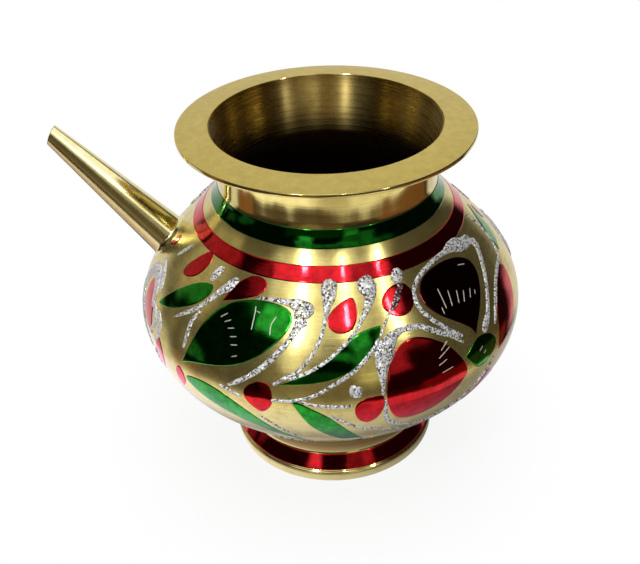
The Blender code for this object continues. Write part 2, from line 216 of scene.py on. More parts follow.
# The floor, in metres: how its real shadow and its mirrored glow change with the distance from the axis (two
# distances, then a value at each), the glow darkened by a painted shadow near the pot with a painted bright ring by
# the lip, and how bright it is in the brass on the dim and bright side of two azimuths, which is painted light
FLOOR_R = 0.10
FLOOR_SEGMENTS = 128
FLOOR_DROP = 0.00002
FLOOR_WHITE = (0.92, 0.92, 0.92, 1)
FLOOR_SHADE = (0.03, 0.08, 0.12, 0.0)
FLOOR_PAINTED_SHADOW = (0.03, 0.065, 0.15, 1.0)
FLOOR_BY_LIP = (0.032, 0.036, 0.9, 0.0)
# Painted light in the mirrored glow: brighter toward one azimuth than the other
FLOOR_BRIGHT_SIDE = -170.0
FLOOR_MIRRORED = (0.15, 1.10)
FLOOR_FAR_SIDE = 60.0
FLOOR_FAR_MIRRORED = (0.15, 0.70)
FLOOR_MIRRORED_COLOUR = (1.20, 1.20, 1.50)

# Noise in the materials (scale per metre, detail, roughness), the spans of it that stain or roughen, the spans and
# share of painted shade and painted reflection, and the depths of bumps
BRASS_LINES = (1500.0, 4.0, 0.65)
BRASS_WAVES = (70.0, 2.0)
BRASS_PATCHES = (260.0, 5.0, 0.6)
BRASS_STAINED = (0.45, 0.75)
BRASS_LINED = (0.35, 0.7, 0.0, 0.35)
# Upward normals over which downward faces of brass take a painted dark reflection
BRASS_PAINTED_BELOW = (-0.35, 0.15)
BRASS_PAINTED_SHADE = 0.94
BRASS_ROUGHER = (0.8, 1.25)
BRUSH_TURN = 0.25
SATIN_GRAIN = (2600.0, 3.0, 0.7)
SATIN_LINES = (2200.0, 3.0, 0.6)
SATIN_PATCHES = (380.0, 5.0, 0.7)
SATIN_STAINED = (0.35, 0.7)
SATIN_ROUGHER = (0.9, 1.1)
SATIN_GRAIN_DEPTH = 0.02
SATIN_LINE_DEPTH = 0.006
LACQUER_LINES = (1300.0, 3.0, 0.6)
LACQUER_WAVES = (160.0, 3.0)
LACQUER_POOLS = (420.0, 4.0, 0.6)
LACQUER_POOLED = (0.35, 0.75)
LACQUER_WAVE_DEPTH = 0.05
LACQUER_ROUGHNESS = (0.05, 0.1)
COAT_ROUGHNESS = 0.04
ROUGHENED = (0.3, 0.7)
FLAKE_SCALE = 2900.0
FLAKE_COLOUR = (0.97, 0.98, 1.0)
FLAKE_METALLIC = 0.3
FLAKE_ROUGHNESS = 0.3

RED, DARK, GREEN = "lacquer_red", "lacquer_dark_red", "lacquer_green"

# Blades of lacquer, as in the CAD but for slight changes to red_shoulder_petal and red_crown_petal: azimuth,
# ends on the pattern sheet, half width, widest share, shape of the two ends, bow
BLADES = (
    ("red_shoulder_petal", RED, -148.5, (-3.9, 24.3), (2.6, 34.1), 2.9, 0.5, (0.55, 0.4), -0.08),
    ("green_shoulder_leaf", GREEN, -144.5, (-11.2, 12.3), (7.1, 26.4), 3.2, 0.7, (0.7, 0.47), -0.02),
    ("red_crown_petal", RED, -122, (-6.2, 24.4), (5, 32.7), 3, 0.72, (1, 0.5), 0.06),
    ("green_great_petal", GREEN, -118.5, (-19.8, 2.3), (11.8, 25.4), 8.3, 0.62, (1.4, 0.5), 0.05),
    ("red_tip_bud", RED, -141, (1, -7.4), (1.8, 0.8), 2.2, 0.6, (0.9, 0.6), -0.04),
    ("green_long_leaf", GREEN, -122, (20.5, -21), (-14.2, -1.2), 3.7, 0.74, (1.4, 0.54), -0.117),
    ("red_berry", RED, -111.5, (0.7, -3.2), (1.7, 6.5), 4.2, 0.48, (0.7, 0.45), 0.12),
    ("green_slant_leaf", GREEN, -88.5, (-18.2, 6.2), (11.1, 21.4), 3.6, 0.75, (1.5, 0.8), -0.073),
    ("red_front_petal", RED, -86.5, (-3.2, 21.2), (2.5, 29.9), 3.6, 0.34, (0.48, 0.66), -0.05),
    ("red_front_bud", RED, -66.5, (-4.9, 24.9), (3.4, 29.7), 4.2, 0.5, (0.42, 0.42), -0.05),
    ("dark_great_petal", DARK, -45, (-0.4, 9.3), (-2.5, 31.7), 11.6, 0.68, (1.5, 0.45), -0.1),
    ("red_great_petal", RED, -63.5, (12.6, 0.7), (-12.4, 7), 12.4, 0.67, (0.72, 0.42), 0.03),
    ("green_flower_heart", GREEN, -42, (-9.2, 5.5), (4.8, 3.4), 4.7, 0.5, (1.1, 0.5), -0.04),
    ("red_low_berry", RED, -81.5, (3.7, 2.8), (-1.3, -5.8), 3.9, 0.54, (0.62, 0.46), -0.12),
    ("green_low_leaf", GREEN, -93, (11, -24), (-11.2, 4.2), 3.3, 0.57, (0.77, 1.5), -0.055),
    ("red_side_petal", RED, -22, (-13.6, -0.6), (6, 16.8), 5.8, 0.5, (0.9, 0.5), 0.03),
    ("red_under_petal", RED, -38, (-2, -4.5), (4, -24), 7, 0.6, (1, 0.5), -0.06),
    ("red_spout_petal", RED, -164, (7.6, 1.5), (-3.5, 14.5), 4.4, 0.55, (0.8, 0.55), 0.08),
    ("green_spout_leaf", GREEN, -160, (3, -24), (-3, -7.5), 3.4, 0.6, (1.1, 0.6), 0.08),
    ("red_side_bud", RED, -151, (0.5, -6.5), (0.5, 4), 2.8, 0.5, (0.6, 0.8), 0.05),
    ("red_root_petal", RED, -173, (-1.6, 23.7), (1.2, 28.6), 1.7, 0.6, (0.6, 0.5), -0.05),
)
# A leaf beside the spray that only one side of the pot has
SIDE_LEAF = ("green_side_leaf", GREEN, -1.5, (-7, 18.5), (4.5, 31.5), 3, 0.5, (0.9, 0.9), -0.06)

# Beads of glitter glue for each piece: strokes of azimuth, height on the sheet and half width
GLITTER = {
    "green_flower": (
        ((-163.4, 25.5, 0.4), (-161.4, 28.5, 0.6), (-158.3, 32.1, 0.4)),
        ((-138.2, 27.5, 0.5), (-137.3, 30.3, 1.1), (-135.6, 32.9, 0.6)),
        ((-127.1, 31.7, 0.7), (-129.3, 28.8, 1.2), (-131.8, 26.6, 0.8), (-133.8, 24.1, 0.7), (-136.3, 21, 0.6),
         (-139, 18.3, 0.6), (-142.8, 15.4, 0.5), (-145.8, 13.1, 0.3)),
        ((-135.8, 19.5, 0.4), (-137.6, 15.4, 0.6), (-137.5, 11.3, 0.6), (-137.7, 7.4, 0.4)),
        ((-117.5, 28.2, 0.4), (-110.5, 28.6, 0.6), (-105, 28.4, 0.9), (-102, 27.8, 1.6), (-99.8, 26.2, 2.4),
         (-98.6, 24.4, 2.2)),
        ((-99.6, 24.8, 1.9), (-101.4, 22.2, 1), (-103.7, 18.4, 0.7), (-107.2, 14, 0.7), (-111.1, 10, 0.7),
         (-114.2, 7.3, 0.6), (-117.4, 5, 0.6), (-120.5, 2.9, 0.4)),
    ),
    "red_flower": (
        ((-77.5, 2.7, 0.4), (-77.4, 6.9, 0.7), (-77.1, 10.7, 1.3), (-75.8, 14.3, 2), (-73.6, 17.2, 1.4),
         (-69.9, 19.1, 0.8), (-63.6, 18.8, 0.7), (-59.1, 16.2, 0.7), (-54.1, 13, 0.6), (-50.5, 9.6, 0.4)),
        ((-20.9, 30.6, 1.2), (-26.7, 31.2, 1.4), (-31, 32.5, 1.7), (-35, 33.4, 1.3), (-40, 33.4, 0.7),
         (-46.1, 33.2, 0.6), (-53.6, 31.9, 0.6), (-58.8, 29.7, 0.6), (-61.2, 26.8, 0.6), (-61, 23.1, 0.6),
         (-58.6, 19.4, 0.6), (-54.7, 15.3, 0.6), (-50.3, 11.4, 0.5)),
        ((-20.8, 30, 1.4), (-21, 27.2, 0.9), (-25.6, 23.2, 0.7), (-29.7, 19.7, 0.6), (-33.8, 16, 0.6),
         (-37.1, 12.6, 0.7), (-40.2, 10.2, 1), (-42.2, 8.5, 0.7)),
        ((-12, 18.5, 0.4), (-19, 18.2, 0.6), (-26, 16.4, 0.6), (-32, 12.5, 0.6), (-36.1, 8.2, 0.4)),
        ((-13, 19, 0.4), (-8.3, 22.5, 0.6), (-6, 28.1, 0.6), (-7.5, 33, 0.4)),
    ),
    "stems": (
        ((-91.1, 35.4, 1.3), (-91.2, 33, 1.7), (-91.6, 30, 1.35), (-92.4, 26.6, 0.7), (-93.3, 22.2, 0.5),
         (-94.3, 19.4, 0.5), (-95.6, 16.8, 0.5), (-97.5, 13.9, 0.5), (-100.5, 10.6, 0.5), (-103.9, 8.5, 0.5),
         (-107.3, 6.1, 0.4)),
        ((-76, 35.4, 1), (-77.2, 32.8, 2), (-77, 29.8, 1.3), (-78.8, 26.6, 0.8), (-81.2, 23.7, 0.6),
         (-83.4, 20.9, 0.5), (-86.8, 17.9, 0.5), (-90.7, 14.9, 0.5), (-94.3, 12.4, 0.5), (-97.7, 10.5, 0.5),
         (-102.7, 8.2, 0.4)),
        ((-63.4, 35.4, 1.25), (-66, 31.4, 1.25)),
        ((-71, 25.2, 0.4), (-73.6, 22.2, 0.4), (-76.2, 18.8, 0.35)),
        ((-76.5, 18.7, 0.5), (-78.7, 15.9, 0.6), (-81.3, 13.6, 0.6), (-84.1, 11.3, 0.55), (-87.2, 9.2, 0.55),
         (-91, 7.1, 0.5), (-94.3, 5, 0.5), (-98.5, 3.1, 0.5), (-102.6, 2.1, 0.5), (-107.7, 1.5, 0.4)),
        ((-99.5, 2, 0.4), (-96, 1.2, 0.5), (-92.5, 0.8, 0.5), (-89.2, 0.6, 0.5), (-85.7, 0.8, 0.4)),
        ((-86.3, 4, 1.3), (-84.9, 5, 1.6), (-83.3, 6, 1.2)),
    ),
    "leaves": (
        ((-111.4, -4.9, 0.3), (-108.2, -7.8, 0.4), (-105.1, -10.9, 0.4), (-101.9, -14.6, 0.3)),
        ((-76.9, 1.4, 0.4), (-75.9, -6.7, 0.6), (-69, -12.7, 0.6), (-62, -14.5, 0.6), (-55, -13, 0.6),
         (-48, -10, 0.6), (-42.5, -5.5, 0.6), (-38.5, -1.2, 0.4)),
        ((-92, -2.3, 0.4), (-88.5, -4.9, 0.5), (-84, -8.3, 0.5), (-78, -11, 0.5), (-71.2, -14.3, 0.4)),
        ((-112, -18, 0.4), (-106.5, -22, 0.5), (-100, -24.5, 0.4)),
        ((-123.5, 2.2, 0.4), (-119.8, 1.3, 0.5), (-116.4, 0.6, 0.4)),
        ((-155.5, -3, 0.4), (-155, -10, 0.5), (-153.5, -17, 0.5), (-154, -24, 0.4)),
    ),
    "spout_flower": (
        ((-159, 9, 0.7), (-163.5, 15.2, 1.3), (-170.5, 16.2, 1.5), (-174.5, 9.5, 1.4), (-169, 1, 1.2),
         (-159.5, -5, 0.5)),
        ((-170, 20.6, 0.6), (-166, 19.8, 0.9), (-161.5, 17.4, 1), (-158.6, 14.6, 0.6)),
        ((-154.5, 10.6, 0.6), (-151.5, 8, 0.9), (-151.5, 4.6, 0.8), (-153.6, 1, 0.5)),
        ((-160, 10.5, 0.5), (-157, 9.6, 0.9), (-154.8, 7, 0.9), (-156, 4, 0.7), (-158.5, 2, 0.4)),
    ),
    "bud_dots": (
        ((-64.4, 31.2, 0.7), (-67.5, 27.8, 0.85), (-70.8, 24.6, 0.6)),
    ),
}

# Strokes scratched through the lacquer, as points of azimuth and height on the sheet; they are made near white, a
# painted glint on real cut lines
SCRATCHES = (
    ((-127.7, 20.2), (-125.5, 22)), ((-125.7, 19.4), (-123.5, 20.6)), ((-123.9, 18.1), (-121.5, 18.8)),
    ((-122.3, 16.2), (-120, 16.8)), ((-121.4, 14.2), (-119.1, 14.7)), ((-120.3, 11.2), (-118.4, 12)),
    ((-116.6, 26), (-116.2, 24), (-115.9, 19.5)), ((-116, 24.8), (-114.3, 24.4)),
    ((-108.7, 24.4), (-109.9, 21.9), (-109.7, 19.1)),
    ((-51.7, 26.1), (-52, 20.1)), ((-48.2, 24.4), (-49.6, 19.9)), ((-44.9, 23.1), (-46.7, 19.6)),
    ((-42.3, 22), (-44.4, 19.1)), ((-39.2, 21.3), (-41.3, 19)), ((-37.6, 20.1), (-38.7, 18.9)),
    ((-53.5, 21.1), (-53.6, 19)), ((-37.8, 28.3), (-34.4, 27.2)),
    ((-56.1, 12.3), (-59.1, 10.5)), ((-55.9, 10.6), (-60.3, 8.7)), ((-57.6, 7.7), (-60.7, 6.8)),
    ((-56, 4.8), (-60, 4.4)), ((-43.9, 5.5), (-45.6, 4.5)), ((-42.7, 3.6), (-43.9, 3)),
)
SCRATCH_HALF = 0.14

# A bead's half width from the listed one (share, offset), its height from its half width (offset, share), how
# uneven that is, the seeds of the draws, and how far it sinks and keeps off the spout
GLITTER_SPREAD = (1.35, -0.19)
GLITTER_HEIGHT = (0.14, 0.22)
GLITTER_ROUGH = 0.12
GLITTER_SEED = 7
SCRATCH_HEIGHT = (0.04, 0.0)
SCRATCH_SEED = 3
BEAD_SUNK = 0.15
BEAD_END = 0.0004
SPOUT_CLEAR = 2.0
SPOUT_SEARCH = 1.6 * SPOUT_ROOT_R


# The pot's outline and places on it

def bezier(points, count):
    a, b, c, d = (np.array(point, float) for point in points)
    t = np.linspace(0, 1, count)[:, None]
    return (1 - t) ** 3 * a + 3 * (1 - t) ** 2 * t * b + 3 * (1 - t) * t ** 2 * c + t ** 3 * d


def round_corner(start, corner, end, count):
    return [(1 - t) ** 2 * start + 2 * t * (1 - t) * corner + t ** 2 * end for t in np.linspace(0, 1, count)]


def unit(rows):
    return rows / np.linalg.norm(rows, axis=1)[:, None]


def run_along(points):
    """Distance from the first point to each, along the line through them."""
    return np.concatenate([[0], np.cumsum(np.linalg.norm(np.diff(points, axis=0), axis=1))])


def outward(line):
    """Directions square to a line of radius and height, away from the brass."""
    tangent = unit(np.gradient(line, axis=0))
    return np.stack([-tangent[:, 1], tangent[:, 0]], axis=1)


def body_line():
    """Points of the outer line from the waist down to the foot."""
    (belly_r, belly_z), (waist_r, waist_z), (foot_r, foot_z) = BELLY, WAIST, BOWL_FOOT
    below_waist, above_belly = (waist_r, waist_z - WAIST_FULLNESS), (belly_r, belly_z + SHOULDER_FULLNESS)
    upper = bezier((WAIST, below_waist, above_belly, BELLY), LINE_STEPS)
    slope = (foot_r + BOWL_FOOT_FULLNESS * math.cos(BOWL_FOOT_SLOPE),
             foot_z + BOWL_FOOT_FULLNESS * math.sin(BOWL_FOOT_SLOPE))
    lower = bezier((BELLY, (belly_r, belly_z - BOWL_FULLNESS), slope, BOWL_FOOT), LINE_STEPS)
    return np.vstack([upper, lower[1:]])


foot_low, foot_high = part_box("foot_ring")
AXIS_X = (foot_low.x + foot_high.x) / 2
LINE = body_line()
NORMAL = outward(LINE)
ALONG = run_along(LINE)


def along_at(height):
    """Distance along the line at which it passes a height."""
    return float(np.interp(-height, -LINE[:, 1], ALONG))


BELLY_ALONG = along_at(BELLY[1])
STEP_UP = (BELLY_ALONG - along_at(RED_BAND[1])) / SHEET_RISE
STEP_DOWN = (ALONG[-1] - BELLY_ALONG) / SHEET_FALL


def section(along, lift=0.0):
    """Radius and height at distances along the line, moved out by a lift."""
    columns = [
        np.interp(along, ALONG, LINE[:, k]) + lift * np.interp(along, ALONG, NORMAL[:, k]) for k in range(2)]
    return np.stack(columns, axis=-1)


def sheet_along(up):
    return BELLY_ALONG - up * np.where(up >= 0, STEP_UP, STEP_DOWN)


def on_pot(azimuth, up, lift):
    """Points in millimetres, about the pot's axis, for places on the pattern sheet."""
    spot = section(sheet_along(up), lift)
    turn = np.radians(azimuth)
    return np.stack([spot[..., 0] * np.cos(turn), spot[..., 0] * np.sin(turn), spot[..., 1]], axis=-1)


# Meshes

def new_mesh(name, points, faces, materials=()):
    """A mesh from points in millimetres about the pot's axis."""
    mesh = bpy.data.meshes.new(name)
    mesh.from_pydata((np.asarray(points) * MM + (AXIS_X, 0, 0)).tolist(), [], faces)
    for item in materials:
        mesh.materials.append(item)
    return mesh


def face_outward(mesh, weld=False):
    form = bmesh.new()
    form.from_mesh(mesh)
    if weld:
        bmesh.ops.remove_doubles(form, verts=form.verts, dist=WELD)
        bmesh.ops.dissolve_degenerate(form, edges=form.edges, dist=DEGENERATE)
    bmesh.ops.recalc_face_normals(form, faces=form.faces)
    form.to_mesh(mesh)
    form.free()


def linked(name, data):
    made = bpy.data.objects.new(name, data)
    bpy.context.scene.collection.objects.link(made)
    return made


def riding(name, mesh, nodes=()):
    """An object that rides on the frame, in place of the nodes that it replaces."""
    made = linked(name, mesh)
    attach(made, "root")
    if nodes:
        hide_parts(*nodes)
    return made


def make_piece(name, points, faces, materials, nodes, face_materials=None, sharp=SHARP):
    """A welded and smooth piece in place of CAD nodes."""
    mesh = new_mesh(name, points, np.asarray(faces).tolist(), materials)
    if face_materials is not None:
        mesh.polygons.foreach_set("material_index", np.asarray(face_materials, np.int32))
    face_outward(mesh, weld=True)
    mesh.shade_smooth()
    mesh.set_sharp_from_angle(angle=math.radians(sharp))
    return riding(name, mesh, nodes)


def grid_faces(rows, columns, close_rows=False, close_columns=False):
    """Quads between neighbouring points of a grid that is stored row by row."""
    i = np.arange(rows if close_rows else rows - 1)
    j = np.arange(columns if close_columns else columns - 1)
    i, j = (part.ravel() for part in np.meshgrid(i, j, indexing="ij"))
    a, b = i * columns, ((i + 1) % rows) * columns
    k = (j + 1) % columns
    return np.stack([a + j, b + j, b + k, a + k], axis=1)


def turned(name, line, materials, nodes, inside=(0, 0)):
    """A turned solid from a closed line of radius and height, its second material on the given span."""
    line = np.asarray(line, float)
    turn = np.linspace(0, 2 * math.pi, SEGMENTS, endpoint=False)
    points = np.stack([
        line[:, None, 0] * np.cos(turn), line[:, None, 0] * np.sin(turn),
        np.repeat(line[:, 1:2], SEGMENTS, axis=1)], axis=-1).reshape(-1, 3)
    faces = grid_faces(len(line), SEGMENTS, close_rows=True, close_columns=True)
    spans = faces[:, 0] // SEGMENTS
    choice = ((spans >= inside[0]) & (spans < inside[1])).astype(int)
    return make_piece(name, points, faces, materials, nodes, choice)


def rounded(corners):
    """A line through (radius, height, rounding) corners, each corner eased over its rounding."""
    line = []
    spots = [np.array(corner[:2], float) for corner in corners]
    for index, corner in enumerate(corners):
        spot, reach = spots[index], corner[2]
        before, after = spots[index - 1], spots[(index + 1) % len(spots)]
        if not reach:
            line.append(spot)
            continue
        start = spot + (before - spot) / np.linalg.norm(before - spot) * reach
        end = spot + (after - spot) / np.linalg.norm(after - spot) * reach
        line += round_corner(start, spot, end, CORNER_STEPS)
    return line


def film_lift(edge):
    """Height of a film over the brass at a distance in from its edge."""
    rise = np.clip(edge / FILM_EDGE, 0, 1)
    return -FILM_SUNK + (FILM + FILM_SUNK) * np.sqrt(1 - (1 - rise) ** 2)


def make_bowl_and_shell(brass, inner):
    low = np.linspace(BELLY_ALONG, ALONG[-1], WALL_STEPS)
    floor = section(low[::-1], -WALL)
    floor = floor[floor[:, 1] > BOWL_FOOT[1] + WALL]
    line = [*section(low), (0, BOWL_FOOT[1]), (0, BOWL_FOOT[1] + WALL), *floor]
    turned("lower_bowl_spun", line, (brass, inner), ("lower_bowl",), (WALL_STEPS + 1, len(line)))
    high = np.linspace(along_at(NECK_SEAM_Z), BELLY_ALONG, WALL_STEPS)
    line = [*section(high), *section(high[::-1], -WALL)]
    shell = turned("upper_shell_spun", line, (brass, inner), ("upper_shell",), (WALL_STEPS, len(line)))
    cut_spout_hole(shell)


def make_neck(satin, brass, inner):
    brim_low = MOUTH[1] - BRIM_DROOP - BRIM_EDGE
    flare = bezier(((BRIM_ROOT_R, brim_low), (WAIST[0], brim_low - NECK_FLARE / 2),
                    (WAIST[0], WAIST[1] + NECK_FLARE), WAIST), NECK_STEPS)
    throat = bezier(((WAIST[0] - WALL, WAIST[1]), (WAIST[0] - WALL, WAIST[1] + NECK_FLARE),
                     (MOUTH[0], MOUTH[1] - NECK_FLARE / 2), MOUTH), NECK_STEPS)
    below = np.linspace(0, along_at(NECK_SEAM_Z), SEAM_STEPS)
    brim = rounded((
        (*MOUTH, MOUTH_ROUNDING), (BRIM_R, MOUTH[1] - BRIM_DROOP, BRIM_ROUNDING), (BRIM_R, brim_low, BRIM_ROUNDING),
        (BRIM_ROOT_R, brim_low, 0)))
    line = [*brim[:-1], *flare[:-1], *section(below), *section(below[::-1], -WALL)[:-1], *throat[:-1]]
    first_inside = len(brim) - 1 + len(flare) - 1 + len(below)
    neck = turned("neck_and_brim_turned", line, (brass, inner, satin), ("neck_and_brim",),
                  (first_inside, len(line)))
    brim_top = (MOUTH[1] - BRIM_DROOP - BRIM_ROUNDING) * MM
    for face in neck.data.polygons:
        if face.center.z > brim_top and face.normal.z > LEVEL:
            face.material_index = 2


def foot_flare(count, start=0.0, end=1.0):
    """Points down the hollow flare of the foot, which its band lies on."""
    top, low = (np.array(corner) for corner in FOOT_OUTSIDE[2:4])
    share = np.linspace(start, end, count)[:, None]
    run = low - top
    inward = np.array((run[1], -run[0])) / np.linalg.norm(run)
    return top + run * share + inward * (4 * FOOT_HOLLOW * share * (1 - share))


def make_foot(brass):
    top, neck, _, _, lip, base = FOOT_OUTSIDE
    flare = [(*point, 0) for point in foot_flare(FLARE_STEPS)]
    outside = [
        (*top, 0), (*neck, FOOT_NECK_ROUNDING), *flare, (lip[0], FOOT_LIP_TOP, FOOT_LIP_TOP_ROUNDING),
        (*lip, FOOT_LIP_ROUNDING), (*base, FOOT_EDGE_ROUNDING)]
    inside = [(radius - FOOT_WALL, height, FOOT_EDGE_ROUNDING) for radius, height in reversed(FOOT_OUTSIDE[:4])]
    line = rounded([*outside, (base[0] - FOOT_WALL, 0, FOOT_EDGE_ROUNDING), *inside])
    turned("foot_ring_turned", line, (brass,), ("foot_ring",))


def make_band(name, node, face_line, material):
    """A film all round the pot, from the brass line that it lies on."""
    out, run = outward(face_line), run_along(face_line)
    lift = film_lift(np.minimum(run, run[-1] - run))
    line = [*(face_line + out * lift[:, None]), *(face_line[-2:0:-1] - out[-2:0:-1] * FILM_SUNK)]
    turned(name, line, (material,), (node,))


def eased(count):
    """Shares from 0 to 1, closer together near both ends."""
    return (1 - np.cos(np.linspace(0, math.pi, count))) / 2


def make_blade(name, node, material, slot, azimuth, tail, head, half, widest, ends, bow):
    """A petal, leaf or berry: a film with a rounded edge, laid on the belly from the pattern sheet."""
    share = eased(BLADE_ROWS)[:, None]
    across = 2 * eased(BLADE_COLUMNS)[None, :] - 1
    tail, head = np.array(tail), np.array(head)
    spine = head - tail
    length = np.linalg.norm(spine)
    side = np.array([-spine[1], spine[0]]) / length
    first = share < widest
    from_end = np.where(first, share / widest, (1 - share) / (1 - widest))
    width = half * np.sin(np.pi / 2 * np.clip(from_end, 0, 1)) ** np.where(first, *ends)
    reach = across * width + 4 * share * (1 - share) * bow * length
    x = tail[0] + spine[0] * share + side[0] * reach
    y = tail[1] + spine[1] * share + side[1] * reach
    edge = np.minimum((1 - abs(across)) * width, np.minimum(share, 1 - share) * length) * STEP_UP
    radius = section(sheet_along(y))[..., 0]
    place = azimuth + x * BELLY[0] / radius
    top = on_pot(place, y, film_lift(edge))
    bottom = on_pot(place, y, np.full_like(edge, -FILM_SUNK))
    faces = grid_faces(BLADE_ROWS, BLADE_COLUMNS)
    faces = np.concatenate([faces, faces[:, ::-1] + BLADE_ROWS * BLADE_COLUMNS])
    points = np.concatenate([top.reshape(-1, 3), bottom.reshape(-1, 3)])
    make_piece(name, points, faces, (material,), (node,), sharp=FILM_SHARP)


def smooth_path(points):
    """Points of azimuth, sheet height and more columns, run through smoothly and spaced evenly."""
    points = np.array(points, float)
    if len(points) == 2:
        points = np.insert(points, 1, points.mean(0), axis=0)
    padded = np.vstack([2 * points[0] - points[1], points, 2 * points[-1] - points[-2]])
    t = np.linspace(0, 1, STROKE_STEPS, endpoint=False)[:, None]
    runs = []
    for a, b, c, d in zip(padded, padded[1:], padded[2:], padded[3:]):
        square, cube = 2 * a - 5 * b + 4 * c - d, 3 * b - a - 3 * c + d
        runs.append(0.5 * (2 * b + (c - a) * t + square * t ** 2 + cube * t ** 3))
    path = np.vstack([*runs, points[-1:]])
    run = run_along(on_pot(path[:, 0], path[:, 1], 0.0))
    even = np.linspace(0, run[-1], max(int(run[-1] / STROKE_STEP), STROKE_POINTS))
    return np.stack([np.interp(even, run, column) for column in path.T], axis=1), even


def bead(path, run, half, height, base, rough, draws):
    """Points and faces of a rounded bead along a path, its ends rounded off."""
    at_end = np.clip(np.minimum(run, run[-1] - run) / half, 0, 1)
    half = half * np.sqrt(np.clip(1 - (1 - at_end) ** 2, BEAD_END, 1))
    place = on_pot(path[:, 0], path[:, 1], base)
    normal = on_pot(path[:, 0], path[:, 1], base + 1.0) - place
    side = np.cross(normal, unit(np.gradient(place, axis=0)))
    across = np.cos(np.linspace(0, math.pi, BEAD_COLUMNS))
    bump = 1 + rough * draws.uniform(-1, 1, (len(path), BEAD_COLUMNS))
    up = (height[0] + height[1] * half)[:, None] * np.sqrt(np.clip(1 - across ** 2, 0, 1)) * bump
    top = place[:, None] + side[:, None] * (half[:, None] * across)[..., None] + normal[:, None] * up[..., None]
    sunk, reach = place - normal * (base + BEAD_SUNK), side * half[:, None]
    ring = np.concatenate([top, (sunk - reach)[:, None], (sunk + reach)[:, None]], axis=1)
    rows, around = ring.shape[:2]
    faces = [list(quad) for quad in grid_faces(rows, around, close_columns=True)]
    caps = [list(range(around - 1, -1, -1)), list(range((rows - 1) * around, rows * around))]
    return ring.reshape(-1, 3), faces + caps


def make_beads(name, strokes, material, turn, base, height, rough, seed, spread=(1.0, 0.0)):
    """One piece from several strokes of a spray."""
    draws = np.random.default_rng(seed)
    points, faces, start = [], [], 0
    for stroke in strokes:
        path, run = smooth_path(stroke)
        path[:, 0] += turn
        spots, quads = bead(path, run, spread[0] * path[:, 2] + spread[1], height, base, rough, draws)
        points.append(spots)
        faces += [[corner + start for corner in quad] for quad in quads]
        start += len(spots)
    mesh = new_mesh(name, np.concatenate(points), faces, (material,))
    face_outward(mesh)
    mesh.shade_smooth()
    return riding(name, mesh)


# Spout

ROOT_R, ROOT_Z = section(np.array([along_at(SPOUT_Z)]))[0]
ROOT = np.array([-ROOT_R, 0, ROOT_Z])
FORWARD = np.array([-math.cos(SPOUT_ANGLE), 0, math.sin(SPOUT_ANGLE)])
UPWARD = np.array([math.sin(SPOUT_ANGLE), 0, math.cos(SPOUT_ANGLE)])
SIDEWAYS = np.array([0, 1.0, 0])
SPOUT_TURN = np.linspace(0, 2 * math.pi, SPOUT_SEGMENTS, endpoint=False)


def spout_out(turn):
    """Directions out from the spout's axis, for turns about it."""
    return np.cos(turn)[..., None] * UPWARD + np.sin(turn)[..., None] * SIDEWAYS


def spout_radius(distance):
    return SPOUT_ROOT_R + (SPOUT_TIP_R - SPOUT_ROOT_R) * distance / SPOUT_LENGTH


def spout_point(distance, turn, shrink=0.0):
    distance, turn = np.broadcast_arrays(distance, turn)
    reach = (spout_radius(distance) - shrink)[..., None]
    return ROOT + distance[..., None] * FORWARD + reach * spout_out(turn)


def off_body(points, lift):
    """How far points stand outside the body, level with it, less a lift."""
    heights = LINE[::-1, 1]
    return np.hypot(points[..., 0], points[..., 1]) - np.interp(points[..., 2], heights, LINE[::-1, 0]) - lift


def spout_foot(turn, shrink, lift):
    """Distance along the spout at which its wall meets the body, for each turn about it."""
    low, high = np.full_like(turn, -SPOUT_SEARCH), np.full_like(turn, SPOUT_SEARCH)
    for _ in range(SEARCH_STEPS):
        middle = (low + high) / 2
        outside = off_body(spout_point(middle, turn, shrink), lift) > 0
        high = np.where(outside, middle, high)
        low = np.where(outside, low, middle)
    return (low + high) / 2


def spout_end(turn, shrink):
    """Distance along the spout at which its wall meets the plane of its mouth."""
    facing = np.array([-math.cos(SPOUT_MOUTH_LEAN), 0, math.sin(SPOUT_MOUTH_LEAN)])
    return SPOUT_LENGTH - (SPOUT_TIP_R - shrink) * (spout_out(turn) @ facing) / (FORWARD @ facing)


def clear_of_spout(stroke, turn):
    """Whether a stroke of glitter stays off the spout's root."""
    path, _ = smooth_path(stroke)
    away = on_pot(path[:, 0] + turn, path[:, 1], 0.0) - ROOT
    away -= (away @ FORWARD)[:, None] * FORWARD
    return np.linalg.norm(away, axis=1).min() > SPOUT_ROOT_R + SPOUT_CLEAR


def make_spout(brass, inner):
    """The tapered tube, cut to the shoulder at its root and open at both ends."""
    turn, lip = SPOUT_TURN, SPOUT_LIP
    share = np.linspace(0, 1, SPOUT_STEPS)[:, None]
    start, end = spout_foot(turn, 0, -SPOUT_SUNK), spout_end(turn, 0)
    rings = [spout_point(start + (end - lip - start) * share, turn[None, :])]
    for shrink in (lip, SPOUT_WALL - lip):
        rings.append(spout_point(spout_end(turn, shrink), turn, shrink)[None])
    start, end = spout_foot(turn, SPOUT_WALL, -SPOUT_SUNK), spout_end(turn, SPOUT_WALL) - lip
    rings.append(spout_point(end + (start - end) * share, turn[None, :], SPOUT_WALL))
    points = np.concatenate(rings)
    faces = grid_faces(len(points), len(turn), close_rows=True, close_columns=True)
    choice = (faces[:, 0] // len(turn) >= SPOUT_STEPS + 1).astype(int)
    return make_piece(
        "spout_tube_drawn", points.reshape(-1, 3), faces, (brass, inner), ("spout_tube",), choice)


